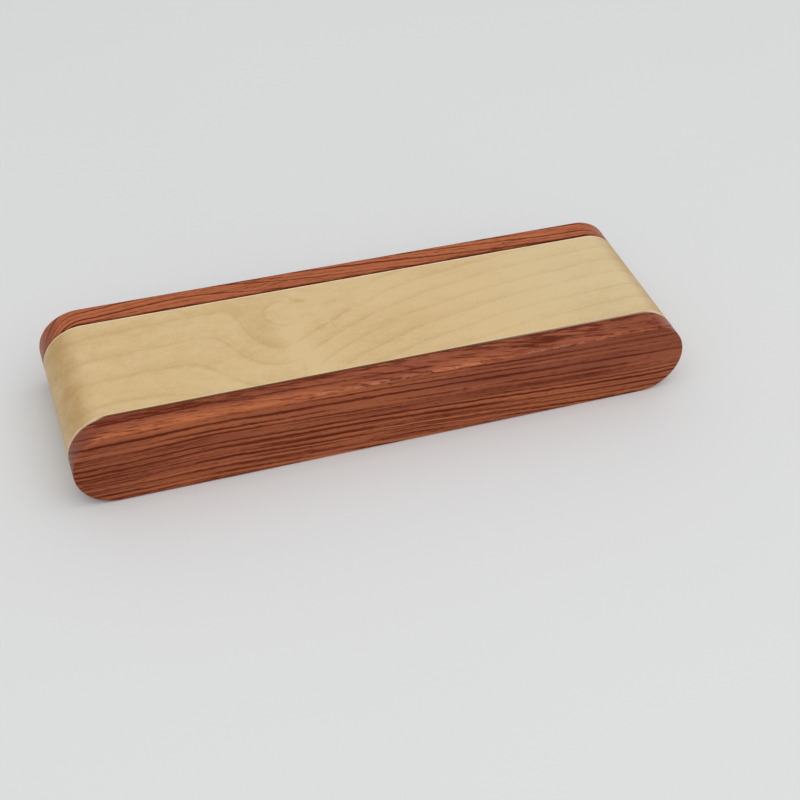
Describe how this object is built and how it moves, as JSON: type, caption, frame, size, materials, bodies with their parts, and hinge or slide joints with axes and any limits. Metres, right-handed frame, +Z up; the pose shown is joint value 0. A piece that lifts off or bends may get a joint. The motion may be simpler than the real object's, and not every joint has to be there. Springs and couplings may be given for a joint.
{
  "type": "fountain pen case",
  "caption": "Flat wooden case with half-round ends for a fountain pen: a pale centre between dark side rails, with a pivoting lid over a velvet-lined trough.",
  "frame": {"origin": "middle of the flat underside", "axes": "+X along the length, from the pivot end to the opening end; +Y to the rear; +Z up"},
  "size_m": [0.156, 0.048, 0.021],
  "materials": {
    "rosewood": "satin oil finish, dark red-brown with darker growth lines",
    "maple": "satin oil finish, pale straw with faint growth lines",
    "beech": "plain, unfinished",
    "brass": "turned, lightly polished",
    "nickel": "bright nickel plate",
    "foam": "dense closed-cell foam, matt",
    "velvet": "short-pile velvet"
  },
  "bodies": {
    "case": {"front_rail": "rosewood", "rear_rail": "rosewood", "base_block": "maple", "dowel_front_left": "beech", "dowel_front_right": "beech", "dowel_rear_left": "beech", "dowel_rear_right": "beech", "pivot_pin_front": "brass", "pivot_pin_rear": "brass", "base_magnet_front": "nickel", "base_magnet_rear": "nickel", "bed_foam": "foam", "bed_velvet": "velvet"},
    "lid": {"lid": "maple", "lid_foam": "foam", "lid_velvet": "velvet", "lid_magnet_front": "nickel", "lid_magnet_rear": "nickel", "pivot_washer_front": "brass", "pivot_washer_rear": "brass"}
  },
  "joints": [
    {"name": "lid_hinge", "type": "hinge", "parent": "case", "child": "lid", "pos_m": [-0.075, 0, 0.0105], "axis": [0, -1, 0], "range_deg": [0, 95]}
  ]
}
